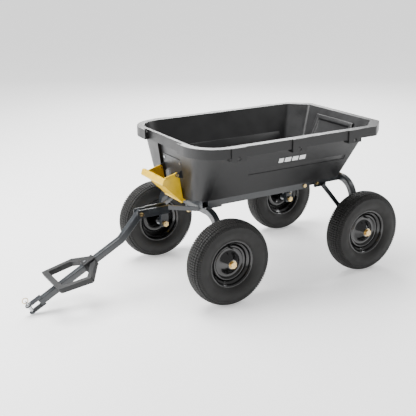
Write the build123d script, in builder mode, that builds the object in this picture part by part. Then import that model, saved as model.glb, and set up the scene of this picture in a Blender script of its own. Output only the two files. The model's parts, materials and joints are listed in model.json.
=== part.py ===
"""Four-wheel garden dump cart with a drawbar: poly tub on a square-tube chassis.

Frame: +X runs forward to the hitch, +Y to the cart's left, +Z up, millimetres.
The origin is on the ground, under the middle of the cart's overall box.
"""
from build123d import *
from math import atan2, cos, radians, sin, sqrt
import os

# ---------------------------------------------------------------- driving sizes
wheelbase = 792.0
track = 720.0
half_base = wheelbase / 2
tyre_diameter = 406.0
tyre_width = 109.0
tyre_wall = 7.0
rim_bead_diameter = 203.2
rim_flange_diameter = 226.0
rim_width = 64.0
rim_sheet = 3.0
hub_length = 76.0
hub_diameter = 42.0
hub_bore = 35.0
axle_diameter = 15.8
bearing_width = 11.0
bearing_flange = 2.0
valve_diameter = 8.0
valve_length = 26.0

tube = 32.0
tube_wall = 2.5
plate = 5.0
running_gap = 0.3
pin_gap = 0.06

leg_outset = track / 2 - 80.0
arch_bend = 96.0
leg_foot_drop = 18.0
leg_plate_width = 40.0
leg_plate_rise = 65.0

rail_outset = 203.0
rail_z = 444.0
front_rail_front = half_base + 18.0
front_rail_rear = -150.0
rail_overlap = 80.0
turntable_radius = 45.0
turntable_plate_thickness = 6.0
turntable_washer_thickness = 2.0
bolster_thickness = 8.0
bolster_length = 84.0
kingpin_diameter = 16.0

tub_length = wheelbase + 296.0
tub_width = 743.0
tub_height = 271.0
tub_rear_overhang = half_base + 152.0
tub_wall = 5.0
rim_shelf = 36.0
rim_band = 46.0
floor_width = 458.0
floor_front = half_base + 76.0
floor_rear = 4.0 - half_base
rim_front_radius = 160.0
rim_rear_chamfer_x = 100.0
rim_rear_chamfer_y = 93.0
floor_front_radius = 60.0
floor_rear_chamfer = 62.0
pad_length = 77.0
pad_drop = 62.0
pad_pitch = 328.0
pad_middle = 19.0
pad_stand = 6.0
tie_hole = 9.0
recess_width = 214.0
recess_depth = 15.0
recess_top_gap = 34.0

hinge_back = half_base + 34.0
hinge_height = 470.0
hinge_spread = 250.0
hinge_pin_diameter = 10.0
hinge_eye = 14.0

handle_width = 224.0
handle_foot_width = 162.0
handle_sheet = 7.0
handle_pin_height = 562.0
handle_pin_x = half_base + 107.0
handle_bar_x = half_base + 180.0
handle_bar_z = 542.0
handle_bar_depth = 26.0
handle_foot_x = half_base + 80.0
handle_foot_z = 430.0
handle_pin_diameter = 8.0
hook_reach = 30.0
hook_sheet = 4.0

tongue_pivot_x = half_base + 264.0
tongue_pivot_z = 381.0
tongue_bend_x = half_base + 365.0
tongue_bend_z = 270.0
tongue_slope = 28.0
tongue_straight = 462.0
yoke_height = 40.0
yoke_sheet = 4.0
tine_length = 63.0
tine_overlap = 20.0
tine_sheet = 6.0
hitch_pin_diameter = 15.8
collar_sheet = 4.0
eye_rise = 9.0
eye_tab = 5.0
ring_wire = 2.2
ring_radius = 13.0
pin_point = 7.0
tongue_tail = 15.0
pull_handle_start = 150.0
pull_handle_length = 222.0
pull_handle_width = 262.0
pull_handle_grip = 230.0
pull_handle_bar = 26.0
pull_handle_shoulder = 76.0
pull_handle_rise = 48.0

# -------------------------------------------------------------- derived places
tyre_radius = tyre_diameter / 2
axle_z = tyre_radius
axle_radius = axle_diameter / 2
slope = radians(tongue_slope)
pin_collar = tube / 2 + tine_sheet
pin_s = tongue_straight + tine_length - tube / 2
ring_n = pin_collar + collar_sheet + eye_rise + ring_radius
front_reach = (
    tongue_bend_x + pin_s * cos(slope) + ring_n * sin(slope) + ring_radius + ring_wire
)
rear_reach = max(tub_rear_overhang, wheelbase / 2 + tyre_radius)
mid_x = (rear_reach - front_reach) / 2
front_x = mid_x + wheelbase / 2
rear_x = mid_x - wheelbase / 2
rail_bottom = rail_z - tube / 2
floor_z = rail_z + tube / 2 + 1.0
rim_z = floor_z + tub_height
wall_top = rim_z - rim_band
rear_arch_z = rail_z - 4.0
bolster_bottom = rail_bottom - bolster_thickness
front_arch_top = bolster_bottom - turntable_washer_thickness - turntable_plate_thickness
front_arch_z = front_arch_top - tube / 2
crossmember_x = mid_x + front_rail_front + tube / 2
hinge_x = mid_x - hinge_back
pivot_x = mid_x + tongue_pivot_x

os.makedirs("parts", exist_ok=True)


def write(builder, name):
    """Labels a finished sub-part and writes it under its own name."""
    builder.part.label = name
    export_step(builder.part, f"parts/{name}.step")


def add_ring(plane, outer_radius, inner_radius, length):
    """Adds a plain ring or, with no inner radius, a round bar standing on a plane."""
    with BuildSketch(plane) as face:
        Circle(outer_radius)
        if inner_radius > 0:
            Circle(inner_radius, mode=Mode.SUBTRACT)
    extrude(face.sketch, amount=length)


def add_hex(plane, across_flats, bore_radius, height):
    """Adds a hexagon nut or, with no bore, a bolt head standing on a plane."""
    with BuildSketch(plane) as face:
        RegularPolygon(across_flats / 2, 6, major_radius=False)
        if bore_radius > 0:
            Circle(bore_radius, mode=Mode.SUBTRACT)
    extrude(face.sketch, amount=height)


def add_bolt(plane, radius, length, across_flats, head):
    """Adds a bolt: its head stands on the plane and its shank runs below it."""
    add_hex(plane, across_flats, 0, head)
    add_ring(plane, radius, 0, -length)


def add_bar(start, end, width, depth, wall=0.0):
    """Adds a straight rectangular bar, or a tube where a wall is given."""
    run = Vector(*end) - Vector(*start)
    sideways = run.cross(Vector(0, 0, 1)).normalized()
    with BuildSketch(Plane(origin=start, x_dir=sideways, z_dir=run.normalized())) as face:
        Rectangle(width, depth)
        if wall > 0:
            Rectangle(width - 2 * wall, depth - 2 * wall, mode=Mode.SUBTRACT)
    extrude(face.sketch, amount=run.length)


def cut_hole(point, direction, radius, length):
    """Cuts a round hole centred on a point, half its length to each side."""
    with BuildSketch(Plane(origin=point, z_dir=direction)) as face:
        Circle(radius)
    extrude(face.sketch, amount=length / 2, both=True, mode=Mode.SUBTRACT)


def side_plane(y):
    """The upright plane at a distance y to the left, drawn on in X and Z."""
    return Plane.XZ.offset(-y)


# ---------------------------------------------------------------------- wheels
# Each wheel is drawn in a half section: u runs outboard from its middle, r is
# the radius. The tyre's casing is hollow and sits on the rim's bead seats.
corners = {
    "front_left": (front_x, 1),
    "front_right": (front_x, -1),
    "rear_left": (rear_x, 1),
    "rear_right": (rear_x, -1),
}
bead_radius = rim_bead_diameter / 2
flange_radius = rim_flange_diameter / 2
half_tyre = tyre_width / 2
half_rim = rim_width / 2
crown = 0.7 * half_tyre
crown_fall = 7.0
bead_depth = 12.0
sheet = rim_sheet / 2
drop_radius = bead_radius - 13.0
bearing_bore = axle_radius + pin_gap
valve_radius = 0.86 * drop_radius
valve_foot = 0.39 * half_rim + sheet + 1.0
hub_inner = -hub_length / 2 - 2.0
hub_outer = hub_inner + hub_length


def wheel_plane(x, side):
    return Plane(origin=(x, side * track / 2, axle_z), x_dir=(0, side, 0), z_dir=(side, 0, 0))


def wheel_axis(x):
    return Axis((x, 0, axle_z), (0, 1, 0))


def casing_outline(plane, inset):
    """One closed outline of the tyre, drawn smaller all round by the inset."""
    top, flank = tyre_radius - inset, half_tyre - inset
    belly = (tyre_radius + flange_radius) / 2
    lip = flange_radius + 1.0
    shoulder = crown - inset / 2
    foot = half_rim - (bead_depth if inset else 0)
    with BuildSketch(plane) as outline:
        with BuildLine():
            right = ThreePointArc((foot, lip), (flank, belly), (shoulder, top - crown_fall))
            over = ThreePointArc(right @ 1, (0, top), (-shoulder, top - crown_fall))
            left = ThreePointArc(over @ 1, (-flank, belly), (-foot, lip))
            Polyline(left @ 1, (-foot, bead_radius), (foot, bead_radius), right @ 0)
        make_face()
    return outline.sketch


def sheet_outline(plane, points):
    """A strip of rim sheet that follows a run of points."""
    with BuildSketch(plane) as outline:
        with BuildLine():
            offset(Polyline(*points, mode=Mode.PRIVATE), amount=sheet, side=Side.BOTH)
        make_face()
    return outline.sketch


barrel = [
    (half_rim + sheet, flange_radius - sheet),
    (half_rim + sheet, bead_radius - sheet),
    (0.55 * half_rim, bead_radius - sheet),
    (0.42 * half_rim, drop_radius),
]
barrel += [(-u, r) for u, r in reversed(barrel)]
dish = [
    (0.36 * half_rim, drop_radius),
    (0.42 * half_rim, 0.76 * drop_radius),
    (0.08 * half_rim, 0.66 * drop_radius),
    (0.08 * half_rim, 0.44 * drop_radius),
    (0.80 * half_rim, hub_diameter / 2 + 1.0),
]

for corner, (wheel_x, side) in corners.items():
    section = wheel_plane(wheel_x, side)
    axis = wheel_axis(wheel_x)
    hub_end = Plane(origin=(wheel_x, side * (track / 2 + hub_inner), axle_z), z_dir=(0, side, 0))

    with BuildPart() as tyre:
        revolve(casing_outline(section, 0), axis=axis)
        revolve(casing_outline(section, tyre_wall), axis=axis, mode=Mode.SUBTRACT)
    write(tyre, f"tyre_{corner}")

    with BuildPart() as rim:
        revolve(sheet_outline(section, barrel), axis=axis)
        revolve(sheet_outline(section, dish), axis=axis)
        add_ring(hub_end, hub_diameter / 2, hub_bore / 2, hub_length)
    write(rim, f"rim_{corner}")

    with BuildPart() as bearings:
        for end, inward in ((hub_inner, 1), (hub_outer, -1)):
            mouth = Plane(
                origin=(wheel_x, side * (track / 2 + end), axle_z), z_dir=(0, side * inward, 0)
            )
            add_ring(mouth, hub_bore / 2, bearing_bore, bearing_width)
            add_ring(mouth, hub_diameter / 2, bearing_bore, -bearing_flange)
    write(bearings, f"bearings_{corner}")

    with BuildPart() as valve:
        seat = Plane(
            origin=(wheel_x, side * (track / 2 + valve_foot), axle_z + valve_radius),
            z_dir=(0, side, 0),
        )
        add_ring(seat, valve_diameter / 2, 0, valve_length)
        add_ring(seat, 0.7 * valve_diameter, 0, 0.4 * valve_length)
    write(valve, f"valve_stem_{corner}")


# ------------------------------------------------------------- axles and legs
# A bolt through each leg carries a wheel. From outboard to inboard it holds a
# washer, the two bearings, a spacer, the leg tube, the leg plate and a nut.
washer_gap = 0.3
washer_sheet = 3.0
nut_height = 13.0
nut_flats = 26.0
head_flats = 28.0
leg_outer = leg_outset + tube / 2
leg_inner = leg_outset - tube / 2
plate_inner = leg_inner - plate
outer_face = track / 2 + hub_outer + bearing_flange + washer_gap
inner_face = track / 2 + hub_inner - bearing_flange - washer_gap
foot_z = axle_z - leg_foot_drop


def write_axle_hardware(end, x):
    """Writes the bolts, nuts, washers and spacers of one axle, one group each."""
    with BuildPart() as bolts:
        for side in (1, -1):
            head = Plane(origin=(x, side * (outer_face + washer_sheet), axle_z), z_dir=(0, side, 0))
            shank = outer_face + washer_sheet - plate_inner + nut_height + 3.0
            add_bolt(head, axle_radius, shank, head_flats, 10.0)
    write(bolts, f"{end}_axle_bolts")

    with BuildPart() as washers:
        for side in (1, -1):
            seat = Plane(origin=(x, side * outer_face, axle_z), z_dir=(0, side, 0))
            add_ring(seat, 19.0, axle_radius + pin_gap, washer_sheet)
    write(washers, f"{end}_axle_washers")

    with BuildPart() as spacers:
        for side in (1, -1):
            seat = Plane(origin=(x, side * leg_outer, axle_z), z_dir=(0, side, 0))
            add_ring(seat, 13.0, axle_radius + pin_gap, inner_face - leg_outer)
    write(spacers, f"{end}_axle_spacers")

    with BuildPart() as nuts:
        for side in (1, -1):
            seat = Plane(origin=(x, side * plate_inner, axle_z), z_dir=(0, -side, 0))
            add_hex(seat, nut_flats, axle_radius + pin_gap, nut_height)
    write(nuts, f"{end}_axle_nuts")


def draw_arch(x, top_z, bend):
    """Adds a square-tube arch that bends down to a leg at each side."""
    with BuildLine(Plane.YZ.offset(x)) as route:
        FilletPolyline(
            (leg_outset, foot_z), (leg_outset, top_z), (-leg_outset, top_z), (-leg_outset, foot_z),
            radius=bend,
        )
    start = Plane(origin=(x, leg_outset, foot_z), x_dir=(1, 0, 0), z_dir=(0, 0, 1))
    with BuildSketch(start) as outer:
        RectangleRounded(tube, tube, 1.8 * tube_wall)
    with BuildSketch(start) as inner:
        RectangleRounded(tube - 2 * tube_wall, tube - 2 * tube_wall, 0.8 * tube_wall)
    sweep(outer.sketch, path=route.wire())
    sweep(inner.sketch, path=route.wire(), mode=Mode.SUBTRACT)
    for side in (1, -1):
        cut_hole((x, side * leg_outset, axle_z), (0, 1, 0), axle_radius + pin_gap, 2 * tube)


def write_leg_plates(end, x, brace_hole):
    """Writes the flat plates that are welded inside the legs round their axles."""
    with BuildPart() as leg_plates:
        for side in (1, -1):
            with BuildSketch(side_plane(side * leg_inner)) as leg_plate:
                with Locations((x, (foot_z + axle_z + leg_plate_rise) / 2)):
                    RectangleRounded(leg_plate_width, axle_z + leg_plate_rise - foot_z, 5.0)
                with Locations((x, axle_z)):
                    Circle(axle_radius + pin_gap, mode=Mode.SUBTRACT)
                if brace_hole:
                    with Locations((x, brace_foot_z)):
                        Circle(brace_bolt_radius + pin_gap, mode=Mode.SUBTRACT)
            extrude(leg_plate.sketch, amount=side * plate)
    write(leg_plates, f"{end}_leg_plates")


# --------------------------------------------------------------- rear chassis
# Two lapped rails a side run from the front crossmember to the rear arch. A
# strut on each side ties the rear leg back to the rail.
lap_bolt_radius = 5.0
lap_bolt_x = mid_x + front_rail_rear + tube / 2
rear_rail_outset = rail_outset - tube
rear_rail_front = mid_x + front_rail_rear + rail_overlap
brace_bolt_radius = 4.0
brace_foot_z = axle_z + 38.0
brace_width = 20.0
brace_top_outset = rear_rail_outset + tube / 2 + plate + brace_width / 2 + 2.2
brace_top = (rear_x + 138.0, brace_top_outset, rail_z - 16.0)
bracket_length = 74.0
bracket_bolt_x = rear_x + 164.0
bracket_bolt_z = rail_z - 10.0

with BuildPart() as rear_arch:
    draw_arch(rear_x, rear_arch_z, arch_bend)
    for side in (1, -1):
        cut_hole(
            (rear_x, side * leg_outset, brace_foot_z), (0, 1, 0),
            brace_bolt_radius + pin_gap, 2 * tube,
        )
write(rear_arch, "rear_arch")
write_leg_plates("rear", rear_x, True)
write_axle_hardware("rear", rear_x)

for name, side in (("left", 1), ("right", -1)):
    outset = side * rail_outset
    with BuildPart() as front_rail:
        tail = (lap_bolt_x, outset, rail_z)
        add_bar(tail, (mid_x + front_rail_front, outset, rail_z), tube, tube, tube_wall)
        with BuildSketch(side_plane(side * (rail_outset - tube / 2))) as end_cap:
            with Locations((lap_bolt_x, rail_z)):
                Circle(tube / 2)
        extrude(end_cap.sketch, amount=-side * tube)
        cut_hole(tail, (0, 1, 0), lap_bolt_radius + pin_gap, 2 * tube)
    write(front_rail, f"front_rail_{name}")

    with BuildPart() as rear_rail:
        rear_outset = side * rear_rail_outset
        add_bar(
            (rear_x + tube / 2, rear_outset, rail_z), (rear_rail_front, rear_outset, rail_z),
            tube, tube, tube_wall,
        )
        cut_hole((lap_bolt_x, rear_outset, rail_z), (0, 1, 0), lap_bolt_radius + pin_gap, 2 * tube)
    write(rear_rail, f"rear_rail_{name}")

    foot = (rear_x + 4.0, side * (plate_inner - plate - brace_width / 2), brace_foot_z + 6.0)
    top = (brace_top[0], side * brace_top[1], brace_top[2])
    with BuildPart() as brace:
        add_bar(top, foot, brace_width, brace_width, 2.0)
        with BuildSketch(side_plane(side * (plate_inner - plate))) as lug:
            with Locations((rear_x, brace_foot_z)):
                Circle(14.0)
        extrude(lug.sketch, amount=-side * plate)
        cut_hole((rear_x, side * plate_inner, brace_foot_z), (0, 1, 0), brace_bolt_radius + pin_gap, 80)
    write(brace, f"rear_brace_{name}")

bracket_face = rear_rail_outset + tube / 2
with BuildPart() as brackets:
    for side in (1, -1):
        with BuildSketch(side_plane(side * bracket_face)) as bracket:
            with Locations((bracket_bolt_x - bracket_length / 2 + 16.0, bracket_bolt_z)):
                RectangleRounded(bracket_length, 40.0, 6.0)
        extrude(bracket.sketch, amount=-side * plate)
write(brackets, "brace_brackets")

with BuildPart() as crossmember:
    reach = rail_outset + tube / 2
    add_bar((crossmember_x, -reach, rail_z), (crossmember_x, reach, rail_z), tube, tube, tube_wall)
write(crossmember, "front_crossmember")

with BuildPart() as lap_bolts:
    for side in (1, -1):
        head = Plane(
            origin=(lap_bolt_x, side * (rail_outset + tube / 2), rail_z), z_dir=(0, side, 0)
        )
        add_bolt(head, lap_bolt_radius, 2 * tube + 12.0, 17.0, 6.5)
        nut = Plane(
            origin=(lap_bolt_x, side * (rear_rail_outset - tube / 2), rail_z), z_dir=(0, -side, 0)
        )
        add_hex(nut, 17.0, 0, 8.0)
write(lap_bolts, "rail_lap_bolts")

with BuildPart() as brace_bolts:
    for side in (1, -1):
        head = Plane(
            origin=(rear_x, side * (plate_inner - plate), brace_foot_z), z_dir=(0, -side, 0)
        )
        add_bolt(head, brace_bolt_radius, 2 * plate + tube + 10.0, 13.0, 5.5)
        head = Plane(
            origin=(bracket_bolt_x, side * (bracket_face + plate), bracket_bolt_z),
            z_dir=(0, side, 0),
        )
        add_hex(head, 14.0, 0, 6.0)
write(brace_bolts, "brace_bolts")

# ------------------------------------------------------------------- steering
# The bolster is welded under the rails. The kingpin hangs from it and carries
# the front arch, which turns on a plate with a thin wear washer between them.
kingpin_radius = kingpin_diameter / 2
kingpin_head = 10.0
sleeve_drop = 20.0

with BuildPart() as bolster:
    with BuildSketch(Plane.XY.offset(bolster_bottom)):
        with Locations((front_x - 12.0, 0)):
            Rectangle(bolster_length, 2 * (rail_outset + tube / 2))
        with Locations((front_x, 0)):
            Circle(kingpin_radius, mode=Mode.SUBTRACT)
    extrude(amount=bolster_thickness)
write(bolster, "steering_bolster")

with BuildPart() as turntable:
    with BuildSketch(Plane.XY.offset(front_arch_top)):
        with Locations((front_x, 0)):
            Circle(turntable_radius)
            Circle(kingpin_radius + pin_gap, mode=Mode.SUBTRACT)
    extrude(amount=turntable_plate_thickness)
write(turntable, "turntable_plate")

with BuildPart() as washer:
    with BuildSketch(Plane.XY.offset(bolster_bottom - turntable_washer_thickness)):
        with Locations((front_x, 0)):
            Circle(0.8 * turntable_radius)
            Circle(kingpin_radius + pin_gap, mode=Mode.SUBTRACT)
    extrude(amount=turntable_washer_thickness)
write(washer, "turntable_washer")

sleeve_bottom = front_arch_z - tube / 2 - sleeve_drop
with BuildPart() as kingpin:
    head = Plane(origin=(front_x, 0, bolster_bottom + bolster_thickness), z_dir=(0, 0, 1))
    add_bolt(head, kingpin_radius, head.origin.Z - sleeve_bottom + 18.0, 30.0, kingpin_head)
write(kingpin, "kingpin")

with BuildPart() as kingpin_nut:
    seat = Plane(origin=(front_x, 0, sleeve_bottom - running_gap), z_dir=(0, 0, -1))
    add_hex(seat, 24.0, kingpin_radius, 12.0)
write(kingpin_nut, "kingpin_nut")

with BuildPart() as front_arch:
    draw_arch(front_x, front_arch_z, arch_bend)
    sleeve = Plane(origin=(front_x, 0, sleeve_bottom), z_dir=(0, 0, 1))
    add_ring(sleeve, 16.0, kingpin_radius + pin_gap, front_arch_top - sleeve_bottom)
    cut_hole((front_x, 0, front_arch_z), (0, 0, 1), kingpin_radius + pin_gap, 2 * tube)
write(front_arch, "front_arch")
write_leg_plates("front", front_x, False)
write_axle_hardware("front", front_x)

# The yoke is a channel whose cheeks hold the tongue, with a bar on each side
# that runs back along the cheek and then spreads to the arch.
cheek_inner = tube / 2 + 1.0
cheek_outer = cheek_inner + yoke_sheet
yoke_front = pivot_x + 20.0
yoke_top = tongue_pivot_z + yoke_height / 2
yoke_bottom = tongue_pivot_z - yoke_height / 2
spread_bend_x = mid_x + half_base + 124.0
spread_end = 118.0
bar_height = 22.0
bar_z = front_arch_z - 4.0
arch_front = front_x + tube / 2

with BuildPart() as yoke:
    for side in (1, -1):
        with BuildSketch(side_plane(side * cheek_inner)) as cheek:
            with Locations(((yoke_front + spread_bend_x - 10.0) / 2, tongue_pivot_z)):
                RectangleRounded(yoke_front - spread_bend_x + 10.0, yoke_height, 7.0)
        extrude(cheek.sketch, amount=-side * yoke_sheet)
        with BuildSketch(Plane.XY.offset(bar_z - bar_height / 2)) as spread:
            with BuildLine():
                Polyline(
                    (pivot_x - 40.0, side * cheek_outer), (spread_bend_x, side * cheek_outer),
                    (arch_front, side * spread_end), (arch_front, side * (spread_end + 1.4 * plate)),
                    (spread_bend_x + 0.4 * plate, side * (cheek_outer + plate)),
                    (pivot_x - 40.0, side * (cheek_outer + plate)), close=True,
                )
            make_face()
        extrude(spread.sketch, amount=bar_height)
    web = Plane.XY.offset(bar_z - bar_height / 2)
    with BuildSketch(web) as floor_web:
        with Locations((spread_bend_x + 15.0, 0)):
            Rectangle(50.0, 2 * cheek_inner)
    extrude(floor_web.sketch, amount=yoke_sheet)
    cut_hole((pivot_x, 0, tongue_pivot_z), (0, 1, 0), 6.0 + pin_gap, 3 * tube)
write(yoke, "tongue_yoke")

with BuildPart() as pivot_bolt:
    head = Plane(origin=(pivot_x, cheek_outer, tongue_pivot_z), z_dir=(0, 1, 0))
    add_bolt(head, 6.0, 2 * cheek_outer + 14.0, 18.0, 7.0)
    nut = Plane(origin=(pivot_x, -cheek_outer, tongue_pivot_z), z_dir=(0, -1, 0))
    add_hex(nut, 18.0, 0, 10.0)
write(pivot_bolt, "tongue_pivot_bolt")

# --------------------------------------------------------------------- tongue
# s runs along the straight part of the tongue from its bend, n stands square
# to it on the upper side.
bend = Vector(mid_x + tongue_bend_x, 0, tongue_bend_z)
along = Vector(cos(slope), 0, -sin(slope))
normal = Vector(sin(slope), 0, cos(slope))


def on_tongue(s, n=0.0, y=0.0):
    """A point given by its distances along, above and beside the tongue."""
    return bend + along * s + normal * n + Vector(0, y, 0)


tongue_end = on_tongue(tongue_straight)
pivot_point = Vector(pivot_x, 0, tongue_pivot_z)
tail = pivot_point - (bend - pivot_point).normalized() * tongue_tail
with BuildPart() as tongue_tube:
    with BuildLine(Plane.XZ) as route:
        FilletPolyline(
            (tail.X, tail.Z), (bend.X, bend.Z), (tongue_end.X, tongue_end.Z), radius=40.0
        )
    wire = route.wire()
    mouth = Plane(origin=wire @ 0, x_dir=(0, 1, 0), z_dir=wire % 0)
    with BuildSketch(mouth) as outer:
        RectangleRounded(tube, tube, 1.8 * tube_wall)
    with BuildSketch(mouth) as inner:
        RectangleRounded(tube - 2 * tube_wall, tube - 2 * tube_wall, 0.8 * tube_wall)
    sweep(outer.sketch, path=wire)
    sweep(inner.sketch, path=wire, mode=Mode.SUBTRACT)
    cut_hole((pivot_x, 0, tongue_pivot_z), (0, 1, 0), 6.0 + pin_gap, 3 * tube)
write(tongue_tube, "tongue_tube")

pin_radius = hitch_pin_diameter / 2
with BuildPart() as tines:
    for side in (1, -1):
        face = Plane(
            origin=on_tongue(tongue_straight - tine_overlap, side * tube / 2),
            x_dir=along, z_dir=normal * side,
        )
        with BuildSketch(face) as tine:
            with Locations(((tine_overlap + tine_length - tube / 2) / 2, 0)):
                Rectangle(tine_overlap + tine_length - tube / 2, tube)
            with Locations((tine_overlap + tine_length - tube / 2, 0)):
                Circle(tube / 2)
                Circle(pin_radius + pin_gap, mode=Mode.SUBTRACT)
        extrude(tine.sketch, amount=tine_sheet)
write(tines, "hitch_tines")

eye_n = pin_collar + collar_sheet + eye_rise
with BuildPart() as hitch_pin:
    shoulder = Plane(origin=on_tongue(pin_s, pin_collar), x_dir=along, z_dir=normal)
    add_ring(shoulder, pin_radius, 0, -(2 * pin_collar + pin_point))
    add_ring(shoulder, 12.0, 0, collar_sheet)
    eye_face = Plane(
        origin=on_tongue(pin_s - eye_tab / 2, pin_collar), x_dir=(0, 1, 0), z_dir=along
    )
    with BuildSketch(eye_face) as tab:
        with Locations((0, (collar_sheet + eye_rise) / 2)):
            Rectangle(2 * eye_rise, collar_sheet + eye_rise)
        with Locations((0, collar_sheet + eye_rise)):
            Circle(eye_rise)
            Circle(ring_wire + 1.6, mode=Mode.SUBTRACT)
    extrude(tab.sketch, amount=eye_tab)
write(hitch_pin, "hitch_pin")

with BuildPart() as pull_ring:
    hoop_centre = on_tongue(pin_s, ring_n)
    wire_face = Plane(origin=hoop_centre + normal * ring_radius, x_dir=(0, 1, 0), z_dir=along)
    with BuildSketch(wire_face) as wire_section:
        Circle(ring_wire)
    revolve(wire_section.sketch, axis=Axis(hoop_centre, (0, 1, 0)))
write(pull_ring, "hitch_pin_ring")

# The pull handle is a five-sided loop. Its arms leave the tube in line with it,
# and its front half bends up towards the level, so the grip stands clear of the
# tube. The plan of the loop is cut to the bent profile of its side view.
collar_half = 31.0
collar_wall = 7.0
grip_s = pull_handle_start + pull_handle_length
shoulder_s = pull_handle_start + pull_handle_shoulder
with BuildPart() as pull_handle:
    plan = Plane(origin=on_tongue(0, -2 * pull_handle_bar), x_dir=along, z_dir=normal)
    with BuildSketch(plan) as loop:
        with BuildLine():
            Polyline(
                (pull_handle_start, -24.0), (pull_handle_start, 24.0),
                (shoulder_s, pull_handle_width / 2), (grip_s, pull_handle_grip / 2),
                (grip_s, -pull_handle_grip / 2), (shoulder_s, -pull_handle_width / 2), close=True,
            )
        make_face()
        fillet(loop.vertices(), 12.0)
        offset(amount=-pull_handle_bar, mode=Mode.SUBTRACT)
    extrude(loop.sketch, amount=6 * pull_handle_bar)
    side_view = Plane(origin=on_tongue(0, 0, pull_handle_width), x_dir=along, z_dir=(0, -1, 0))
    up = side_view.to_local_coords(on_tongue(0, 1.0, pull_handle_width)).Y
    half = pull_handle_bar / 2
    with BuildSketch(side_view) as profile:
        with BuildLine():
            Polyline(
                (pull_handle_start - 30.0, up * -half), (pull_handle_start - 30.0, up * half),
                (shoulder_s + 4.0, up * (half - 3.0)), (grip_s + 20.0, up * (half + pull_handle_rise)),
                (grip_s + 20.0, up * (pull_handle_rise - half)), (shoulder_s + 10.0, up * (-3.0 - half)),
                close=True,
            )
        make_face()
    extrude(profile.sketch, amount=2 * pull_handle_width, mode=Mode.INTERSECT)
    collar_plane = Plane(origin=on_tongue(pull_handle_start), x_dir=(0, 1, 0), z_dir=along)
    with BuildSketch(collar_plane) as collar:
        RectangleRounded(tube + 2 * collar_wall, tube + 2 * collar_wall, 6.0)
    extrude(collar.sketch, amount=2 * collar_half)
    with BuildSketch(collar_plane) as bore:
        RectangleRounded(tube, tube, 1.8 * tube_wall)
    extrude(bore.sketch, amount=pull_handle_length - pull_handle_bar, mode=Mode.SUBTRACT)
    with BuildSketch(collar_plane.offset(-collar_half)) as mouth_cut:
        RectangleRounded(tube, tube, 1.8 * tube_wall)
    extrude(mouth_cut.sketch, amount=collar_half, mode=Mode.SUBTRACT)
write(pull_handle, "pull_handle")

with BuildPart() as handle_screw:
    seat = Plane(
        origin=on_tongue(pull_handle_start + collar_half + 14.0, tube / 2 + collar_wall), z_dir=normal
    )
    add_ring(seat, 6.0, 0, 3.0)
write(handle_screw, "pull_handle_screw")

# ------------------------------------------------------------------------- tub
# The tub is a thin moulding with a rolled rim. Its walls run straight from the
# floor to the rim, and each level has the same outline at another size.
rim_front = mid_x + tub_length - tub_rear_overhang
rim_rear = mid_x - tub_rear_overhang
wall_inset = rim_shelf - tub_wall
floor_half = floor_width / 2
rim_half = tub_width / 2
wall_half = rim_half - wall_inset


def tub_outline(z, half, front, rear, front_radius, cut_x, cut_y, corner):
    """A level outline of the tub: round in front, cut off at the rear corners."""
    middle = front_radius * sqrt(0.5)
    with BuildSketch(Plane.XY.offset(z)) as outline:
        with BuildLine():
            Polyline(
                (front, front_radius - half), (front, half - front_radius),
            )
            ThreePointArc(
                (front, half - front_radius),
                (front - front_radius + middle, half - front_radius + middle),
                (front - front_radius, half),
            )
            Polyline(
                (front - front_radius, half), (rear + cut_x, half), (rear, half - cut_y),
                (rear, cut_y - half), (rear + cut_x, -half), (front - front_radius, -half),
            )
            ThreePointArc(
                (front - front_radius, -half),
                (front - front_radius + middle, front_radius - half - middle),
                (front, front_radius - half),
            )
        make_face()
        fillet(outline.vertices().filter_by(lambda v: v.X < rear + cut_x + 1.0), corner)
    return outline.sketch


def wall_levels(inset, bottom):
    """The two levels that the tub's wall runs between, set in all round."""
    share = (bottom - floor_z) / tub_height
    low_half = floor_half + share * (wall_half - floor_half)
    low_front = mid_x + floor_front + share * (rim_front - wall_inset - mid_x - floor_front)
    low_rear = mid_x + floor_rear + share * (rim_rear + wall_inset - mid_x - floor_rear)
    low = tub_outline(
        bottom, low_half - inset, low_front - inset, low_rear + inset,
        floor_front_radius - inset / 2, floor_rear_chamfer, floor_rear_chamfer, 20.0,
    )
    high = tub_outline(
        rim_z, wall_half - inset, rim_front - wall_inset - inset, rim_rear + wall_inset + inset,
        rim_front_radius - wall_inset - inset, rim_rear_chamfer_x - 8.0, rim_rear_chamfer_y - 8.0,
        24.0,
    )
    return low, high


def front_wall_x(z):
    """Where the front wall's outer face stands at a height."""
    share = (z - floor_z) / tub_height
    return mid_x + floor_front + share * (rim_front - wall_inset - mid_x - floor_front)


def recess_block(margin):
    """The slab that the front recess takes out of the tub, grown by a margin."""
    low, high = floor_z - 1.0, wall_top - 4.0 + margin
    depth = recess_depth + margin
    with BuildPart() as block:
        with BuildSketch(Plane.XZ):
            with BuildLine():
                Polyline(
                    (front_wall_x(low) - depth, low), (front_wall_x(high) - depth, high),
                    (front_wall_x(high) + 60.0, high), (front_wall_x(low) + 60.0, low),
                    close=True,
                )
            make_face()
        extrude(amount=recess_width / 2 + margin, both=True)
    return block.part


with BuildPart() as cavity:
    loft(wall_levels(tub_wall, floor_z + tub_wall), ruled=True)
    add(recess_block(tub_wall), mode=Mode.SUBTRACT)
inner_block = cavity.part

notch_half = 160.0
notch_depth = 20.0
pad_top_y = rim_half + pad_stand
pad_inner_y = wall_half - 1.0
pad_bottom = rim_z - pad_drop

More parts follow.
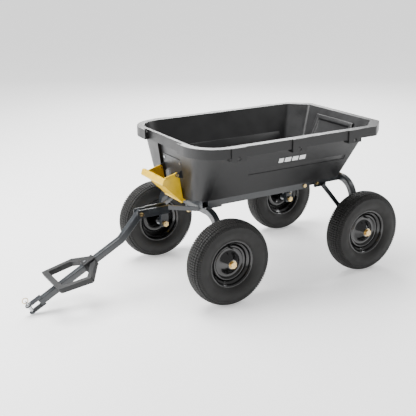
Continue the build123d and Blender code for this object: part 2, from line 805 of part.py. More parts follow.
with BuildPart() as tub:
    loft(wall_levels(0.0, floor_z), ruled=True)
    add(recess_block(0.0), mode=Mode.SUBTRACT)
    with BuildSketch(Plane.XY.offset(wall_top)) as band:
        add(
            tub_outline(
                wall_top, rim_half, rim_front, rim_rear, rim_front_radius,
                rim_rear_chamfer_x, rim_rear_chamfer_y, 30.0,
            )
        )
        with Locations((rim_front, 0)):
            Rectangle(2 * notch_depth, 2 * notch_half, mode=Mode.SUBTRACT)
    with BuildSketch(Plane.XY.offset(wall_top)) as skirt:
        add(band.sketch)
        offset(amount=-tub_wall, mode=Mode.SUBTRACT)
    extrude(skirt.sketch, amount=rim_band)
    extrude(band.sketch.moved(Location((0, 0, rim_band - tub_wall))), amount=tub_wall)
    for side in (1, -1):
        for step in (-1, 0, 1):
            pad_x = mid_x + pad_middle + step * pad_pitch
            with BuildSketch(Plane.XY.offset(pad_bottom)) as pad:
                with Locations((pad_x, side * (pad_inner_y + pad_top_y) / 2)):
                    Rectangle(pad_length, pad_top_y - pad_inner_y)
                with Locations((pad_x, side * (pad_inner_y + pad_top_y - tub_wall) / 2)):
                    Rectangle(
                        pad_length - 2 * tub_wall, pad_top_y - pad_inner_y - tub_wall,
                        mode=Mode.SUBTRACT,
                    )
            extrude(pad.sketch, amount=pad_drop)
            cut_hole(
                (pad_x, side * pad_top_y, pad_bottom + tie_hole + 4.0), (0, 1, 0),
                tie_hole, 3 * tub_wall,
            )
    add(inner_block, mode=Mode.SUBTRACT)
write(tub, "tub")

# ------------------------------------------------------------ tub pivot, rear
# The tub tips back about two bolts behind the rear arch. Its straps are bolted
# to the sloping rear wall; their eyes stand beside the arch's lugs.
hinge_pin_radius = hinge_pin_diameter / 2
strap_foot = 20.0
strap_head = 110.0
strap_flange = 40.0
strap_flange_sheet = 4.0
lug_outer = hinge_spread / 2
strap_inner = lug_outer + running_gap
strap_sheet = 5.0
wall_run = Vector(rim_rear + wall_inset - mid_x - floor_rear, 0, tub_height).normalized()
wall_foot = Vector(mid_x + floor_rear, 0, floor_z)
wall_out = Vector(-wall_run.Z, 0, wall_run.X)


def on_rear_wall(up, out=0.0):
    """A point given by its distance up and out from the rear wall's foot."""
    spot = wall_foot + wall_run * up + wall_out * out
    return (spot.X, spot.Z)


with BuildPart() as pivot_lugs:
    for side in (1, -1):
        with BuildSketch(side_plane(side * (lug_outer - strap_sheet))) as lug:
            with Locations((hinge_x, hinge_height)):
                Circle(hinge_eye)
            with BuildLine():
                back = rear_x - tube / 2
                Line((back, rear_arch_z - 12.0), (back, rear_arch_z + 14.0))
            make_hull()
            with Locations((hinge_x, hinge_height)):
                Circle(hinge_pin_radius, mode=Mode.SUBTRACT)
        extrude(lug.sketch, amount=-side * strap_sheet)
write(pivot_lugs, "tub_pivot_lugs")

with BuildPart() as straps:
    for side in (1, -1):
        with BuildSketch(side_plane(side * strap_inner)) as web:
            with Locations((hinge_x, hinge_height)):
                Circle(hinge_eye)
            with BuildLine():
                Line(on_rear_wall(strap_foot + 4.0), on_rear_wall(strap_head - 14.0))
            make_hull()
            with Locations((hinge_x, hinge_height)):
                Circle(hinge_pin_radius + pin_gap, mode=Mode.SUBTRACT)
        extrude(web.sketch, amount=-side * strap_sheet)
        with BuildSketch(side_plane(side * strap_inner)) as flange:
            with BuildLine():
                Polyline(
                    on_rear_wall(strap_foot), on_rear_wall(strap_head),
                    on_rear_wall(strap_head, strap_flange_sheet),
                    on_rear_wall(strap_foot, strap_flange_sheet), close=True,
                )
            make_face()
        extrude(flange.sketch, amount=-side * strap_flange)
write(straps, "tub_pivot_straps")

with BuildPart() as pivot_bolts:
    for side in (1, -1):
        head = Plane(
            origin=(hinge_x, side * (strap_inner + strap_sheet + running_gap), hinge_height),
            z_dir=(0, side, 0),
        )
        add_bolt(head, hinge_pin_radius, 2 * strap_sheet + 14.0, 17.0, 7.0)
        nut = Plane(
            origin=(hinge_x, side * (lug_outer - strap_sheet), hinge_height), z_dir=(0, -side, 0)
        )
        add_hex(nut, 17.0, 0, 8.0)
write(pivot_bolts, "tub_pivot_bolts")

# ---------------------------------------------------------- dump handle, front
# A steel plate in the tub's recess carries two ears. The handle hangs from them
# and its hook catches under the front crossmember until the grip is pulled up.
latch_sheet = 3.0
latch_half = 92.0
latch_low = rail_z + 46.0
latch_high = rim_z - 104.0
handle_pin = (mid_x + handle_pin_x, handle_pin_height)
handle_bar = (mid_x + handle_bar_x, handle_bar_z)
handle_foot = (mid_x + handle_foot_x, handle_foot_z)
handle_pin_radius = handle_pin_diameter / 2
cheek_outer_y = handle_foot_width / 2 + 5.0
ear_sheet = 4.0
hook_top = rail_bottom - 1.0
foot_half = 4.0


def on_latch(z, out):
    """A point at a height, out from the floor of the tub's recess."""
    return (front_wall_x(z) - recess_depth + out, z)


with BuildPart() as latch_plate:
    with BuildSketch(Plane.XZ):
        with BuildLine():
            Polyline(
                on_latch(latch_low, 0), on_latch(latch_high, 0),
                on_latch(latch_high, latch_sheet), on_latch(latch_low, latch_sheet), close=True,
            )
        make_face()
    extrude(amount=latch_half, both=True)
    for side in (1, -1):
        with BuildSketch(side_plane(side * (cheek_outer_y + running_gap))) as ear:
            with Locations(handle_pin):
                Circle(9.0)
            with BuildLine():
                Line(on_latch(handle_pin[1] - 22.0, 1.0), on_latch(handle_pin[1] + 22.0, 1.0))
            make_hull()
        extrude(ear.sketch, amount=-side * ear_sheet)
    cut_hole((handle_pin[0], 0, handle_pin[1]), (0, 1, 0), handle_pin_radius, 2 * tub_width)
write(latch_plate, "latch_plate")

with BuildPart() as latch_screws:
    for side in (1, -1):
        spot = on_latch(latch_high - 16.0, latch_sheet)
        seat = Plane(
            origin=(spot[0], side * 0.82 * latch_half, spot[1]),
            z_dir=(tub_height, 0, -(front_wall_x(rim_z) - front_wall_x(floor_z))),
        )
        add_ring(seat, 6.0, 0, 3.0)
write(latch_screws, "latch_screws")

with BuildPart() as handle_pins:
    for side in (1, -1):
        seat = Plane(
            origin=(handle_pin[0], side * (cheek_outer_y + running_gap + ear_sheet), handle_pin[1]),
            z_dir=(0, side, 0),
        )
        add_bolt(seat, handle_pin_radius, ear_sheet + handle_sheet + 12.0, 13.0, 4.0)
write(handle_pins, "dump_handle_pins")

with BuildPart() as spring:
    coil_end = cheek_outer_y - handle_sheet - 1.0
    seat = Plane(origin=(handle_pin[0], coil_end, handle_pin[1]), z_dir=(0, -1, 0))
    add_ring(seat, 8.0, handle_pin_radius + 0.5, 10.0)
write(spring, "dump_handle_spring")

with BuildPart() as dump_handle:
    for side in (1, -1):
        with BuildSketch(side_plane(side * (cheek_outer_y - handle_sheet))) as cheek:
            with Locations(handle_pin):
                Circle(11.0)
            with Locations(handle_bar):
                Circle(0.45 * handle_bar_depth)
            with Locations(handle_foot):
                Circle(foot_half)
            make_hull()
            with Locations(handle_pin):
                Circle(handle_pin_radius + pin_gap, mode=Mode.SUBTRACT)
        extrude(cheek.sketch, amount=-side * handle_sheet)
    with BuildSketch(Plane.XZ) as grip:
        with Locations(Location((handle_bar[0], handle_bar[1], 0), (0, 0, 20))):
            RectangleRounded(handle_bar_depth, 34.0, 9.0)
    extrude(grip.sketch, amount=handle_width / 2, both=True)
    with BuildSketch(Plane.XZ) as face:
        with BuildLine():
            Polyline(
                (handle_foot[0] - foot_half, hook_top - hook_sheet),
                (handle_foot[0] + foot_half, hook_top - hook_sheet),
                (handle_foot[0] + foot_half, handle_foot[1]),
                (handle_bar[0] + 6.0, handle_bar[1] - 10.0),
                (handle_bar[0] - 4.0, handle_bar[1] - 8.0),
                (handle_foot[0] - foot_half, handle_foot[1] + 4.0),
                close=True,
            )
        make_face()
    extrude(face.sketch, amount=cheek_outer_y - 1.0, both=True)
    with BuildSketch(Plane.XY.offset(hook_top - hook_sheet)) as hook:
        with Locations((handle_foot[0] - hook_reach / 2, 0)):
            Rectangle(hook_reach, 120.0)
    extrude(hook.sketch, amount=hook_sheet)
write(dump_handle, "dump_handle")
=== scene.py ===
"""Four-wheel garden dump cart: charcoal poly tub, slate powder-coated chassis, drawbar."""

import json
from math import atan, pi, radians

import bpy
from mathutils import Matrix, Vector

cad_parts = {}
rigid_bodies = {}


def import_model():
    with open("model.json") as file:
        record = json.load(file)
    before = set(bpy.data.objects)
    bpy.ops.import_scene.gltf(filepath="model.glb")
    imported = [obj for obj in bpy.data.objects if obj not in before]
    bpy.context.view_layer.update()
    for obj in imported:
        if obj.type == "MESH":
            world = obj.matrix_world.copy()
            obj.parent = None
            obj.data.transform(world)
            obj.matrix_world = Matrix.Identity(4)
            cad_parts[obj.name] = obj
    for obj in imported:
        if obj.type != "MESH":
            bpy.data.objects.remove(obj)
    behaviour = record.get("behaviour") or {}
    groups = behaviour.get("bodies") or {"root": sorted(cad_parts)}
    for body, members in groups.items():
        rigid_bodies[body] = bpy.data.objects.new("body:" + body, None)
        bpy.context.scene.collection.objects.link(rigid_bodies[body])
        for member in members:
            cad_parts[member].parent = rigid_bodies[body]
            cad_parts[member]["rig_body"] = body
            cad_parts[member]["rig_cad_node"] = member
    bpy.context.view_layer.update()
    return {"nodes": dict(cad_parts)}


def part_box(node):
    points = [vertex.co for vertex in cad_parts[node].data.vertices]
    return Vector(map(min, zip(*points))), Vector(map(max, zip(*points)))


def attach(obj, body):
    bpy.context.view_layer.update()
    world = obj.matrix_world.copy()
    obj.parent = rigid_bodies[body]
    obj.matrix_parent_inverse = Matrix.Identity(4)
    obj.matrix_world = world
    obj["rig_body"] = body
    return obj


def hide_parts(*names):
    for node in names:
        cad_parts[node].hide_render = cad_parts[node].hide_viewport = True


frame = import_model()
nodes = frame["nodes"]

MM = 0.001
BLOCK_INSET = 1.9 * MM  # how far a tread block draws in from its cell
CORNERS = ("front_left", "front_right", "rear_left", "rear_right")


# ------------------------------------------------------------------ materials
def linear(code):
    """An sRGB hex colour as linear RGBA."""
    parts = [int(code[i:i + 2], 16) / 255 for i in (1, 3, 5)]
    return [c / 12.92 if c <= 0.04045 else ((c + 0.055) / 1.055) ** 2.4 for c in parts] + [1.0]


def add_node(tree, kind, inputs=None, **settings):
    """Adds a node, sets it up, and fills or links its inputs."""
    node = tree.nodes.new(kind)
    for name, value in settings.items():
        setattr(node, name, value)
    for name, value in (inputs or {}).items():
        if isinstance(value, bpy.types.NodeSocket):
            tree.links.new(value, node.inputs[name])
        else:
            node.inputs[name].default_value = value
    return node


def start_material(name):
    """A new material with its tree, its shader and its object coordinates."""
    material = bpy.data.materials.new(name)
    material.use_nodes = True
    tree = material.node_tree
    shader = next(n for n in tree.nodes if n.type == "BSDF_PRINCIPLED")
    place = add_node(tree, "ShaderNodeTexCoord").outputs["Object"]
    return material, tree, shader, place


def two_tone(tree, place, size_mm, dark, light, low, high):
    """A colour that drifts between two tones in patches of a real size."""
    patches = add_node(tree, "ShaderNodeTexNoise", {"Vector": place, "Scale": 1000 / size_mm, "Detail": 3.0})
    span = add_node(tree, "ShaderNodeMapRange", {
        "Value": patches.outputs["Fac"], "From Min": low, "From Max": high, "To Min": 0.0, "To Max": 1.0,
    })
    mix = add_node(tree, "ShaderNodeMix", {"Factor": span.outputs["Result"]}, data_type="RGBA")
    mix.inputs[6].default_value = linear(dark)
    mix.inputs[7].default_value = linear(light)
    return mix.outputs[2], span.outputs["Result"]


def vary(tree, share, lowest, highest):
    """A value that follows a patch pattern between two ends."""
    return add_node(tree, "ShaderNodeMapRange", {
        "Value": share, "To Min": lowest, "To Max": highest,
    }).outputs["Result"]


def grain(tree, place, size_mm, height_mm, strength=1.0, detail=2.0):
    """The normal of a fine random texture of a real size and height."""
    noise = add_node(tree, "ShaderNodeTexNoise", {"Vector": place, "Scale": 1000 / size_mm, "Detail": detail})
    return add_node(tree, "ShaderNodeBump", {
        "Height": noise.outputs["Fac"], "Distance": height_mm * MM, "Strength": strength,
    }).outputs["Normal"]


def moulded_polyethylene():
    """Rotomoulded charcoal polyethylene: dull, waxy sheen, a light grain from the mould."""
    material, tree, shader, place = start_material("rotomoulded_polyethylene_charcoal")
    colour, share = two_tone(tree, place, 70, "#101011", "#161617", 0.35, 0.65)
    tree.links.new(colour, shader.inputs["Base Color"])
    tree.links.new(vary(tree, share, 0.34, 0.44), shader.inputs["Roughness"])
    # The mould's grain is about 1 mm; it is drawn at 3 mm so that it shows.
    tree.links.new(grain(tree, place, 3.0, 0.25), shader.inputs["Normal"])
    shader.inputs["IOR"].default_value = 1.51
    shader.inputs["Specular IOR Level"].default_value = 0.4
    return material


def slate_powder_coat():
    """Slate grey powder coat on steel tube: half gloss with a slight orange peel."""
    material, tree, shader, place = start_material("powder_coated_steel_slate")
    colour, share = two_tone(tree, place, 45, "#1c1f23", "#24282c", 0.35, 0.65)
    tree.links.new(colour, shader.inputs["Base Color"])
    tree.links.new(vary(tree, share, 0.28, 0.38), shader.inputs["Roughness"])
    # Orange peel is about 1.5 mm across, drawn at 4 mm so that it shows.
    tree.links.new(grain(tree, place, 4.0, 0.12), shader.inputs["Normal"])
    shader.inputs["IOR"].default_value = 1.5
    shader.inputs["Coat Weight"].default_value = 0.25
    shader.inputs["Coat Roughness"].default_value = 0.2
    return material


def latch_powder_coat():
    """Darker powder coat on the folded latch sheet, rubbed dull where the hook slides."""
    material, tree, shader, place = start_material("powder_coated_sheet_graphite")
    colour, share = two_tone(tree, place, 20, "#222426", "#303234", 0.3, 0.7)
    tree.links.new(colour, shader.inputs["Base Color"])
    tree.links.new(vary(tree, share, 0.32, 0.5), shader.inputs["Roughness"])
    tree.links.new(grain(tree, place, 3.0, 0.1), shader.inputs["Normal"])
    return material


def black_enamel():
    """Gloss black stoved enamel on pressed steel: deep black, clear sharp reflections."""
    material, tree, shader, place = start_material("stoved_enamel_gloss_black")
    colour, share = two_tone(tree, place, 40, "#030303", "#060607", 0.4, 0.6)
    tree.links.new(colour, shader.inputs["Base Color"])
    tree.links.new(vary(tree, share, 0.14, 0.20), shader.inputs["Roughness"])
    shader.inputs["Coat Weight"].default_value = 0.3
    shader.inputs["Coat Roughness"].default_value = 0.06
    return material


def tyre_rubber():
    """Carbon-black tyre rubber: matte, faintly dusty, with a fine skin from the mould."""
    material, tree, shader, place = start_material("tyre_rubber_black")
    colour, share = two_tone(tree, place, 30, "#131312", "#1a1918", 0.35, 0.65)
    tree.links.new(colour, shader.inputs["Base Color"])
    tree.links.new(vary(tree, share, 0.55, 0.68), shader.inputs["Roughness"])
    # The skin's texture is under 1 mm, drawn at 3 mm so that it shows.
    tree.links.new(grain(tree, place, 3.0, 0.3, 0.8), shader.inputs["Normal"])
    shader.inputs["IOR"].default_value = 1.52
    shader.inputs["Specular IOR Level"].default_value = 0.35
    return material


def valve_rubber():
    """Butyl valve rubber, smoother and blacker than the tyre."""
    material, tree, shader, place = start_material("valve_rubber_black")
    colour, share = two_tone(tree, place, 6, "#0b0b0b", "#121212", 0.3, 0.7)
    tree.links.new(colour, shader.inputs["Base Color"])
    tree.links.new(vary(tree, share, 0.45, 0.6), shader.inputs["Roughness"])
    return material


def signal_yellow():
    """Signal yellow moulded nylon handle: strong colour, satin, small flow marks."""
    material, tree, shader, place = start_material("moulded_nylon_signal_yellow")
    colour, share = two_tone(tree, place, 30, "#d0a800", "#dcb400", 0.35, 0.65)
    tree.links.new(colour, shader.inputs["Base Color"])
    tree.links.new(vary(tree, share, 0.30, 0.40), shader.inputs["Roughness"])
    tree.links.new(grain(tree, place, 3.0, 0.1), shader.inputs["Normal"])
    shader.inputs["IOR"].default_value = 1.53
    return material


def grip_polypropylene():
    """Soft grey polypropylene of the pull handle, with a light spark-eroded texture."""
    material, tree, shader, place = start_material("moulded_polypropylene_grey")
    colour, share = two_tone(tree, place, 40, "#121213", "#191a1b", 0.35, 0.65)
    tree.links.new(colour, shader.inputs["Base Color"])
    tree.links.new(vary(tree, share, 0.45, 0.56), shader.inputs["Roughness"])
    tree.links.new(grain(tree, place, 2.5, 0.2), shader.inputs["Normal"])
    shader.inputs["IOR"].default_value = 1.49
    shader.inputs["Specular IOR Level"].default_value = 0.4
    return material


def yellow_zinc():
    """Yellow chromated zinc plate: a gold film that drifts towards pink and green."""
    material, tree, shader, place = start_material("zinc_plate_yellow_chromate")
    colour, share = two_tone(tree, place, 9, "#c2a274", "#d8c48c", 0.35, 0.65)
    tree.links.new(colour, shader.inputs["Base Color"])
    tree.links.new(vary(tree, share, 0.22, 0.34), shader.inputs["Roughness"])
    shader.inputs["Metallic"].default_value = 1.0
    return material


def bright_zinc():
    """Clear zinc plate: pale grey metal with a slight cloud."""
    material, tree, shader, place = start_material("zinc_plate_clear")
    colour, share = two_tone(tree, place, 8, "#a3a6a9", "#c3c5c7", 0.3, 0.7)
    tree.links.new(colour, shader.inputs["Base Color"])
    tree.links.new(vary(tree, share, 0.24, 0.38), shader.inputs["Roughness"])
    shader.inputs["Metallic"].default_value = 1.0
    return material


def bearing_steel():
    """Ground bearing steel under a film of grease."""
    material, tree, shader, place = start_material("ground_bearing_steel")
    colour, share = two_tone(tree, place, 5, "#77797b", "#929496", 0.3, 0.7)
    tree.links.new(colour, shader.inputs["Base Color"])
    tree.links.new(vary(tree, share, 0.22, 0.4), shader.inputs["Roughness"])
    shader.inputs["Metallic"].default_value = 1.0
    return material


def white_paint():
    """Flat white transfer paint with thin spots."""
    material, tree, shader, place = start_material("transfer_paint_white")
    colour, share = two_tone(tree, place, 5, "#d6d7d8", "#efefef", 0.3, 0.6)
    tree.links.new(colour, shader.inputs["Base Color"])
    tree.links.new(vary(tree, share, 0.45, 0.6), shader.inputs["Roughness"])
    return material


finishes = {
    "tub_plastic": moulded_polyethylene(),
    "frame_steel": slate_powder_coat(),
    "latch_steel": latch_powder_coat(),
    "rim_enamel": black_enamel(),
    "tyre_rubber": tyre_rubber(),
    "valve_rubber": valve_rubber(),
    "handle_yellow": signal_yellow(),
    "grip_plastic": grip_polypropylene(),
    "yellow_zinc": yellow_zinc(),
    "bright_zinc": bright_zinc(),
    "bearing_steel": bearing_steel(),
}
paint = white_paint()
for node in nodes.values():
    for slot in node.material_slots:
        slot.material = finishes[slot.material.name.split(".")[0]]


# -------------------------------------------------------------- modelling aids
def clear_selection():
    """Leaves edit mode and selects nothing."""
    if bpy.context.object and bpy.context.object.mode != "OBJECT":
        bpy.ops.object.mode_set(mode="OBJECT")
    bpy.ops.object.select_all(action="DESELECT")


def take(obj):
    """Makes obj the only selected and active object."""
    clear_selection()
    obj.select_set(True)
    bpy.context.view_layer.objects.active = obj
    return obj


def settle(obj):
    """Puts an object's place into its mesh."""
    take(obj)
    bpy.ops.object.transform_apply(location=True, rotation=True, scale=True)
    return obj


def apply_modifier(obj, kind, **settings):
    """Adds a modifier to obj and applies it."""
    take(obj)
    modifier = obj.modifiers.new(kind.lower(), kind)
    for name, value in settings.items():
        setattr(modifier, name, value)
    bpy.ops.object.modifier_apply(modifier=modifier.name)


def pick_faces(obj, test):
    """Selects, in edit mode, the faces whose centre and normal pass the test."""
    take(obj)
    bpy.ops.object.mode_set(mode="EDIT")
    bpy.ops.mesh.select_mode(type="FACE")
    bpy.ops.mesh.select_all(action="DESELECT")
    bpy.ops.object.mode_set(mode="OBJECT")
    for face in obj.data.polygons:
        face.select = bool(test(face.index, face.center, face.normal))
    bpy.ops.object.mode_set(mode="EDIT")


def leave_edit():
    """Goes back to object mode."""
    bpy.ops.object.mode_set(mode="OBJECT")


def recalculate(obj):
    """Merges doubled points and turns every face outwards."""
    take(obj)
    bpy.ops.object.mode_set(mode="EDIT")
    bpy.ops.mesh.select_all(action="SELECT")
    bpy.ops.mesh.remove_doubles(threshold=0.00002)
    bpy.ops.mesh.normals_make_consistent(inside=False)
    leave_edit()


def smooth(obj, angle):
    """Shades an object smooth, with edges sharper than an angle kept sharp."""
    take(obj)
    bpy.ops.object.shade_smooth_by_angle(angle=radians(angle))


def lathe(name, centre, profile, sides, closed=True):
    """Turns a run of (radius, distance across) points about a wheel's axle, ring by ring."""
    clear_selection()
    radius, across = profile[0]
    bpy.ops.mesh.primitive_circle_add(
        vertices=sides, radius=radius, fill_type="NOTHING",
        location=(centre.x, centre.y + across, centre.z), rotation=(pi / 2, 0, 0),
    )
    ring = settle(bpy.context.object)
    ring.name = ring.data.name = name
    bpy.ops.object.mode_set(mode="EDIT")
    bpy.ops.mesh.select_mode(type="EDGE")
    bpy.ops.mesh.select_all(action="SELECT")
    for wider, further in profile[1:] + ([profile[0]] if closed else []):
        bpy.ops.mesh.extrude_edges_move(TRANSFORM_OT_translate={"value": (0, further - across, 0)})
        bpy.ops.transform.resize(
            value=(wider / radius, 1, wider / radius), center_override=(centre.x, centre.y, centre.z)
        )
        radius, across = wider, further
    leave_edit()
    recalculate(ring)
    return ring


def finish_piece(piece, body, material, replaced=()):
    """Gives a piece its finish and its body, and hides the CAD nodes that it stands for."""
    piece.data.materials.clear()
    piece.data.materials.append(material)
    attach(piece, body)
    if replaced:
        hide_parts(*replaced)
    return piece


def joined(name, pieces):
    """Joins pieces into one object."""
    clear_selection()
    for piece in pieces:
        piece.select_set(True)
    bpy.context.view_layer.objects.active = pieces[0]
    bpy.ops.object.join()
    whole = bpy.context.object
    whole.name = whole.data.name = name
    return whole


def eased_copy(node_name, name, width, angle=35, segments=2, cutters=()):
    """A copy of a CAD node whose sharp edges are rounded over, as a real edge is."""
    clear_selection()
    source = nodes[node_name]
    copy = source.copy()
    copy.data = source.data.copy()
    copy.parent = None
    copy.matrix_world = Matrix.Identity(4)
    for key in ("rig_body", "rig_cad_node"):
        if key in copy:
            del copy[key]
    copy.name = copy.data.name = name
    bpy.context.scene.collection.objects.link(copy)
    take(copy)
    bpy.ops.object.mode_set(mode="EDIT")
    bpy.ops.mesh.select_all(action="SELECT")
    bpy.ops.mesh.remove_doubles(threshold=0.00002)
    bpy.ops.mesh.dissolve_limited(angle_limit=radians(0.6))
    leave_edit()
    for cutter in cutters:
        apply_modifier(copy, "BOOLEAN", operation="DIFFERENCE", object=cutter, solver="EXACT")
        bpy.data.objects.remove(cutter)
    apply_modifier(
        copy, "BEVEL", width=width * MM, segments=segments, limit_method="ANGLE",
        angle_limit=radians(angle), use_clamp_overlap=True, harden_normals=False,
    )
    smooth(copy, 40)
    apply_modifier(copy, "WEIGHTED_NORMAL", keep_sharp=True, weight=60)
    return copy


def box_centre(name):
    """The middle of a CAD node's box."""
    low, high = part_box(name)
    return (low + high) / 2


# ---------------------------------------------------------------------- wheels
def side_of(corner):
    """1 for a wheel on the cart's left, -1 for one on its right."""
    return 1 if corner.endswith("left") else -1


def make_tyre(corner):
    """A two-ply lug tyre: ring of small tread blocks, shoulder lugs, plain sidewalls, bead rings."""
    centre = box_centre("tyre_" + corner)
    low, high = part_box("tyre_" + corner)
    crown, half = (high.z - low.z) / 2, (high.y - low.y) / 2
    # The carcass is turned below the tread's height; the blocks then rise to it.
    base = crown - 7.0 * MM
    # Each point is a share of the half width and a drop in mm.
    rows = [
        (-0.80, 12.0), (-0.60, 5.0), (-0.36, 2.0), (-0.12, 0.3),
        (0.12, 0.3), (0.36, 2.0), (0.60, 5.0), (0.80, 12.0),
    ]
    flank = [
        (0.93, 24.0), (0.985, 38.0), (0.995, 50.0), (0.955, 62.0),
        (0.87, 72.0), (0.76, 80.0), (0.66, 85.0),
    ]
    bead = [(0.615, 86.5), (0.60, 89.5), (0.585, 93.0)]
    section = [(base - drop * MM, u * half) for u, drop in rows + flank]
    section += [(crown - drop * MM, u * half) for u, drop in bead]
    section += [(crown - drop * MM, -u * half) for u, drop in reversed(bead)]
    section += [(base - drop * MM, -u * half) for u, drop in reversed(flank)]
    tyre = lathe("tyre_casing_" + corner, centre, section, 104)

    def measure(spot):
        """A spot's share of the half width, and its distance from the axle."""
        across = abs(spot.y - centre.y) / half
        reach = ((spot.x - centre.x) ** 2 + (spot.z - centre.z) ** 2) ** 0.5
        return across, reach

    def on_tread(index, spot, normal):
        across, reach = measure(spot)
        return reach > base - 26 * MM and across < 0.715

    def on_shoulder(index, spot, normal):
        across, reach = measure(spot)
        return 0.76 < across < 0.96 and base - 25 * MM < reach < base - 10 * MM

    for test, height in ((on_tread, 6.4 * MM), (on_shoulder, 3.6 * MM)):
        pick_faces(tyre, test)
        bpy.ops.mesh.inset(thickness=BLOCK_INSET, depth=height, use_individual=True)
        leave_edit()
    apply_modifier(
        tyre, "BEVEL", width=0.6 * MM, segments=1, limit_method="ANGLE",
        angle_limit=radians(40), use_clamp_overlap=True,
    )
    smooth(tyre, 38)
    finish_piece(tyre, "wheel_" + corner, finishes["tyre_rubber"], ("tyre_" + corner,))


def make_rim(corner):
    """A pressed rim in two sheets: a barrel with its rolled lips, and a stepped dish with a cone."""
    centre = box_centre("rim_" + corner)
    low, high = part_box("rim_" + corner)
    lip = (high.z - low.z) / 2 / MM
    side = side_of(corner)

    def turned(name, profile, sides, closed=True):
        """Turns a profile in mm whose positive side faces away from the cart's middle."""
        points = [(r * MM, u * MM * side) for r, u in profile]
        return lathe(name + corner, centre, points, sides, closed=closed)

    outer_face = [
        (lip - 1.5, 31.0), (lip, 33.0), (lip, 35.5), (lip - 2.5, 37.0), (lip - 7.0, 35.5),
        (lip - 10.5, 30.5), (lip - 11.5, 24.0), (lip - 13.5, 20.5), (lip - 20.0, 18.5),
        (lip - 23.0, 15.0), (lip - 26.0, 6.0), (lip - 28.0, 0.0),
    ]
    barrel = outer_face + [(r, -u) for r, u in reversed(outer_face)]
    barrel_ring = turned("rim_barrel_", barrel, 96, closed=False)
    apply_modifier(barrel_ring, "SOLIDIFY", thickness=2.4 * MM, offset=0.0)
    top = lip - 27.5
    dish = [
        (top, 6.0), (top - 1.0, 12.0), (top - 4.5, 15.5), (top - 9.0, 15.0), (top - 12.0, 11.0),
        (top - 14.0, 7.5), (top - 18.0, 6.0), (top - 27.0, 6.0), (top - 33.0, 8.0),
        (top - 39.0, 13.0), (top - 48.0, 21.0), (top - 57.0, 29.0), (top - 61.0, 33.5), (top - 63.5, 36.5),
        (18.5, 37.0),
    ]
    cone = turned("rim_dish_", dish, 96, closed=False)
    apply_modifier(cone, "SOLIDIFY", thickness=2.4 * MM, offset=0.0)
    tube_wall = [(21.0, 37.6), (21.0, -37.6), (17.8, -37.6), (17.8, 37.6)]
    hub_tube = turned("rim_hub_", tube_wall, 64)
    rim = joined("rim_pressing_" + corner, [barrel_ring, cone, hub_tube])
    apply_modifier(
        rim, "BEVEL", width=0.7 * MM, segments=2, limit_method="ANGLE",
        angle_limit=radians(50), use_clamp_overlap=True,
    )
    smooth(rim, 50)
    finish_piece(rim, "wheel_" + corner, finishes["rim_enamel"], ("rim_" + corner,))


for corner in CORNERS:
    make_tyre(corner)
    make_rim(corner)

# ------------------------------------------------------------------------- tub
tub_low, tub_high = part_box("tub")
wheel_mid = (box_centre("rim_front_left").x + box_centre("rim_rear_left").x) / 2
floor_z, rim_z = tub_low.z, tub_high.z
floor_half, wall_half = 0.229, 0.3405
lean = (wall_half - floor_half) / (rim_z - floor_z)


def wall_y(z):
    """Where the side wall's outer face stands at a height."""
    return floor_half + (z - floor_z) * lean


def wall_bar(name, side, x0, x1, z0, z1, out, thick, ease, slope=0.0):
    """A long rounded bar laid along a side wall, its outer face set out from the wall's."""
    clear_selection()
    bpy.ops.mesh.primitive_cube_add(size=1.0)
    bar = bpy.context.object
    bar.name = bar.data.name = name
    bar.scale = (x1 - x0, thick, (z1 - z0))
    settle(bar)
    if slope:
        for point in bar.data.vertices:
            point.select = point.co.z > 0 and side * point.co.y < 0
        bpy.ops.object.mode_set(mode="EDIT")
        bpy.ops.transform.translate(value=(0, 0, -slope))
        leave_edit()
    apply_modifier(bar, "BEVEL", width=ease, segments=3, limit_method="ANGLE", angle_limit=radians(20))
    tilt = atan(lean)
    bar.matrix_world = (
        Matrix.Translation(((x0 + x1) / 2, side * (wall_y((z0 + z1) / 2) + out), (z0 + z1) / 2))
        @ Matrix.Rotation(-side * tilt, 4, "X")
    )
    return settle(bar)


def block(name, low, high, ease):
    """A rounded block between two corners."""
    clear_selection()
    bpy.ops.mesh.primitive_cube_add(size=1.0, location=[(a + b) / 2 for a, b in zip(low, high)])
    solid = bpy.context.object
    solid.name = solid.data.name = name
    solid.scale = [b - a for a, b in zip(low, high)]
    settle(solid)
    apply_modifier(solid, "BEVEL", width=ease, segments=3, limit_method="ANGLE", angle_limit=radians(30))
    return solid


cutters = [
    wall_bar(
        "groove_cutter", side, wheel_mid - 0.335, wheel_mid + 0.235,
        0.562, 0.588, 0.0035, 0.0145, 0.005,
    )
    for side in (1, -1)
] + [
    block("slot_cutter", (wheel_mid + 0.522, min(side * 0.136, side * 0.186), rim_z - 0.012),
          (wheel_mid + 0.534, max(side * 0.136, side * 0.186), rim_z + 0.01), 0.002)
    for side in (1, -1)
]
tub_shell = eased_copy("tub", "tub_moulding", 2.0, 30, cutters=cutters)
finish_piece(tub_shell, "tub", finishes["tub_plastic"], ("tub",))

for side, hand in ((1, "left"), (-1, "right")):
    ledge = wall_bar(
        "tub_inner_ledge_" + hand, side, wheel_mid - 0.318, wheel_mid + 0.237,
        0.556, 0.632, -0.0175, 0.027, 0.004, 0.030,
    )
    smooth(ledge, 40)
    finish_piece(ledge, "tub", finishes["tub_plastic"])

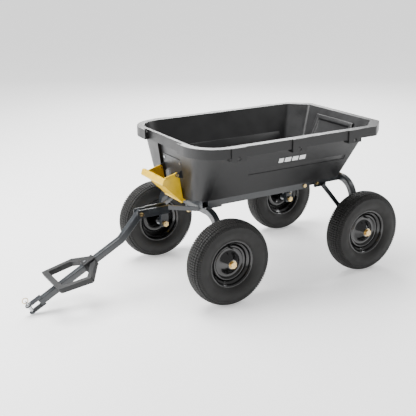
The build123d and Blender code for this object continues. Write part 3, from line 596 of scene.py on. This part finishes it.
# The rear wall's inner face carries a raised frame round a sunken panel.
rear_foot, rear_top = wheel_mid - 0.392, wheel_mid - 0.517
rear_lean = atan((rear_foot - rear_top) / (rim_z - floor_z))
clear_selection()
bpy.ops.mesh.primitive_cube_add(size=1.0)
panel = bpy.context.object
panel.name = panel.data.name = "tub_rear_panel"
panel.scale = (0.014, 0.40, 0.180)
settle(panel)
for point in panel.data.vertices:
    point.select = point.co.z < 0
bpy.ops.object.mode_set(mode="EDIT")
bpy.ops.transform.resize(value=(1, 0.74, 1), center_override=(0, 0, 0))
leave_edit()
pick_faces(panel, lambda index, spot, normal: normal.x > 0.9)
bpy.ops.mesh.inset(thickness=0.022, depth=0.0)
bpy.ops.mesh.inset(thickness=0.006, depth=-0.0075)
leave_edit()
apply_modifier(panel, "BEVEL", width=0.0035, segments=3, limit_method="ANGLE", angle_limit=radians(30))
smooth(panel, 40)
panel_z = 0.618
panel_x = rear_foot - (panel_z - floor_z) * (rear_foot - rear_top) / (rim_z - floor_z)
panel.matrix_world = Matrix.Translation((panel_x + 0.0085, 0, panel_z)) @ Matrix.Rotation(-rear_lean, 4, "Y")
settle(panel)
finish_piece(panel, "tub", finishes["tub_plastic"])

# A plain painted mark of a square and three bars, thin enough to be paint.
for side, hand in ((1, "left"), (-1, "right")):
    bars = []
    for start, length in ((0.075, 0.026), (0.040, 0.034), (-0.002, 0.034), (-0.044, 0.034)):
        bars.append(wall_bar(
            "painted_bar", side, wheel_mid + start - length, wheel_mid + start,
            0.604, 0.628, 0.0004, 0.0012, 0.0004,
        ))
    mark = joined("painted_mark_" + hand, bars)
    recalculate(mark)
    finish_piece(mark, "tub", paint)

# ------------------------------------------------------- handles, latch, yoke
for node_name, name, width in (
    ("dump_handle", "dump_handle_moulding", 2.2), ("pull_handle", "pull_handle_moulding", 4.0),
    ("latch_plate", "latch_pressing", 0.9), ("tongue_yoke", "tongue_yoke_weldment", 0.9),
    ("hitch_tines", "hitch_tine_pair", 1.0), ("front_leg_plates", "front_leg_plate_pair", 0.8),
    ("rear_leg_plates", "rear_leg_plate_pair", 0.8),
):
    eased = eased_copy(node_name, name, width, 32)
    node = nodes[node_name]
    slot = node.material_slots[0].material
    finish_piece(eased, node["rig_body"], slot, (node_name,))

# ---------------------------------------------------------------- stage, light
clear_selection()
bpy.ops.mesh.primitive_plane_add(size=160.0, location=(0, 0, -0.0005))
floor = settle(bpy.context.object)
floor.name = "studio_floor"
floor_paint, tree, shader, place = start_material("studio_floor_white")
shader.inputs["Base Color"].default_value = linear("#f2f2f2")
shader.inputs["Roughness"].default_value = 0.9
shader.inputs["Emission Color"].default_value = linear("#ffffff")
# The floor glows more the further it is from the cart, so it stays an even white backdrop.
reach = add_node(tree, "ShaderNodeVectorMath", {0: place}, operation="LENGTH")
glow = add_node(tree, "ShaderNodeMapRange", {
    "Value": reach.outputs["Value"], "From Min": 1.5, "From Max": 6.0, "To Min": 0.50, "To Max": 0.95,
})
tree.links.new(glow.outputs["Result"], shader.inputs["Emission Strength"])
floor.data.materials.append(floor_paint)

world = bpy.data.worlds.new("studio")
bpy.context.scene.world = world
world.use_nodes = True
world.node_tree.nodes["Background"].inputs["Color"].default_value = linear("#ffffff")
world.node_tree.nodes["Background"].inputs["Strength"].default_value = 0.6


def soft_box(name, place, target, size, power):
    """A square area light aimed at a point."""
    light = bpy.data.lights.new(name, "AREA")
    light.energy, light.size = power, size
    lamp = bpy.data.objects.new(name, light)
    bpy.context.scene.collection.objects.link(lamp)
    lamp.location = place
    lamp.rotation_euler = (Vector(target) - Vector(place)).to_track_quat("-Z", "Y").to_euler()


middle = Vector((wheel_mid, 0.0, 0.45))
soft_box("key_overhead", (wheel_mid + 0.9, -1.2, 3.6), middle, 2.6, 330)
soft_box("front_panel", (wheel_mid + 4.4, -0.8, 2.2), middle, 2.0, 260)
soft_box("rear_strip", (wheel_mid - 3.4, 0.8, 2.6), middle, 1.0, 50)
soft_box("back_strip", (wheel_mid - 2.2, -3.6, 2.9), middle, 2.2, 230)

# ---------------------------------------------------------------------- camera
camera = bpy.data.cameras.new("camera")
camera.sensor_width = 36.0
camera.lens = 68.13
camera.shift_x = -0.0385
camera.shift_y = 0.0015
seat = bpy.data.objects.new("camera", camera)
bpy.context.scene.collection.objects.link(seat)
across = Vector((-0.85253732, 0.52265066, -0.00405161))
back = Vector((0.49481653, 0.80958296, 0.31580379)).normalized()
across = (across - back * across.dot(back)).normalized()
up = back.cross(across)
turn = Matrix((across, up, back)).transposed().to_4x4()
seat.matrix_world = Matrix.Translation((wheel_mid + 2.1396, 3.1790, 1.5612)) @ turn
bpy.context.scene.camera = seat

bpy.context.view_layer.update()
